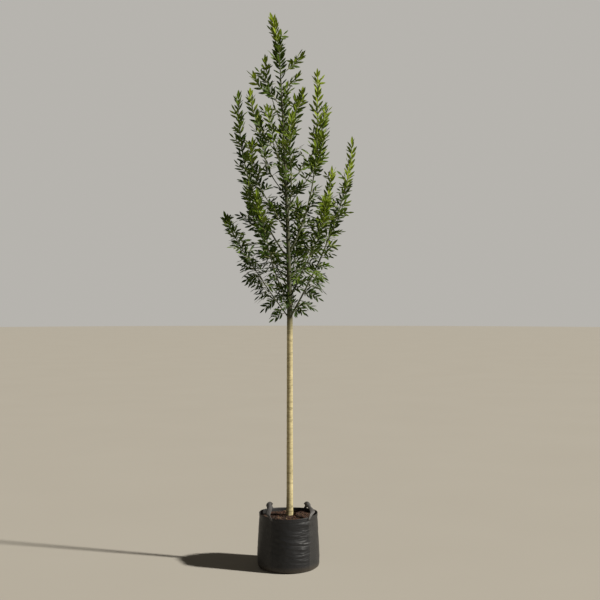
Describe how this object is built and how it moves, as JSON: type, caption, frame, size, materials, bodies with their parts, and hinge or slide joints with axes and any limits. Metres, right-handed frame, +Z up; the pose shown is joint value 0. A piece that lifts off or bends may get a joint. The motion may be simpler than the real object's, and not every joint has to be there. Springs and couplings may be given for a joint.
{
  "type": "young standard tree in a planter bag",
  "caption": "Tall slender young tree with a bare stem and a narrow leafy crown, standing in a round woven planter bag with strap handles and filled with bark compost.",
  "frame": {"origin": "centre of the bag's flat underside, which stands on the ground", "axes": "+Z up along the stem; -Y is the front, the side that the picture shows; +X is to the right in that view"},
  "size_m": [0.912, 0.8233, 3.6125],
  "materials": {
    "woven_bag": "satin",
    "strap": "satin",
    "bark_compost": "matte",
    "stem_bark": "matte",
    "bough_bark": "matte",
    "leaves": "satin"
  },
  "bodies": {
    "root": {"bag": "woven_bag", "bough_back_high": "bough_bark", "bough_back_left_low": "bough_bark", "bough_back_left_mid": "bough_bark", "bough_back_low": "bough_bark", "bough_back_mid": "bough_bark", "bough_back_right_low": "bough_bark", "bough_back_right_mid": "bough_bark", "bough_front_left_high": "bough_bark", "bough_front_left_low": "bough_bark", "bough_front_mid": "bough_bark", "bough_front_right_high": "bough_bark", "bough_front_right_low": "bough_bark", "bough_left_front_mid": "bough_bark", "bough_left_high": "bough_bark", "bough_left_low": "bough_bark", "bough_left_mid": "bough_bark", "bough_left_tall": "bough_bark", "bough_right_front_mid": "bough_bark", "bough_right_high": "bough_bark", "bough_right_low": "bough_bark", "bough_right_tall": "bough_bark", "bough_right_top": "bough_bark", "compost": "bark_compost", "foliage_back_high": "leaves", "foliage_back_left_low": "leaves", "foliage_back_left_mid": "leaves", "foliage_back_low": "leaves", "foliage_back_mid": "leaves", "foliage_back_right_low": "leaves", "foliage_back_right_mid": "leaves", "foliage_front_left_high": "leaves", "foliage_front_left_low": "leaves", "foliage_front_mid": "leaves", "foliage_front_right_high": "leaves", "foliage_front_right_low": "leaves", "foliage_leader": "leaves", "foliage_left_front_mid": "leaves", "foliage_left_high": "leaves", "foliage_left_low": "leaves", "foliage_left_mid": "leaves", "foliage_left_tall": "leaves", "foliage_right_front_mid": "leaves", "foliage_right_high": "leaves", "foliage_right_low": "leaves", "foliage_right_tall": "leaves", "foliage_right_top": "leaves", "foliage_spur_1": "leaves", "foliage_spur_2": "leaves", "foliage_spur_3": "leaves", "foliage_spur_4": "leaves", "foliage_spur_5": "leaves", "foliage_spur_6": "leaves", "foliage_spur_7": "leaves", "handle_left": "strap", "handle_right": "strap", "trunk": "stem_bark"}
  },
  "joints": []
}
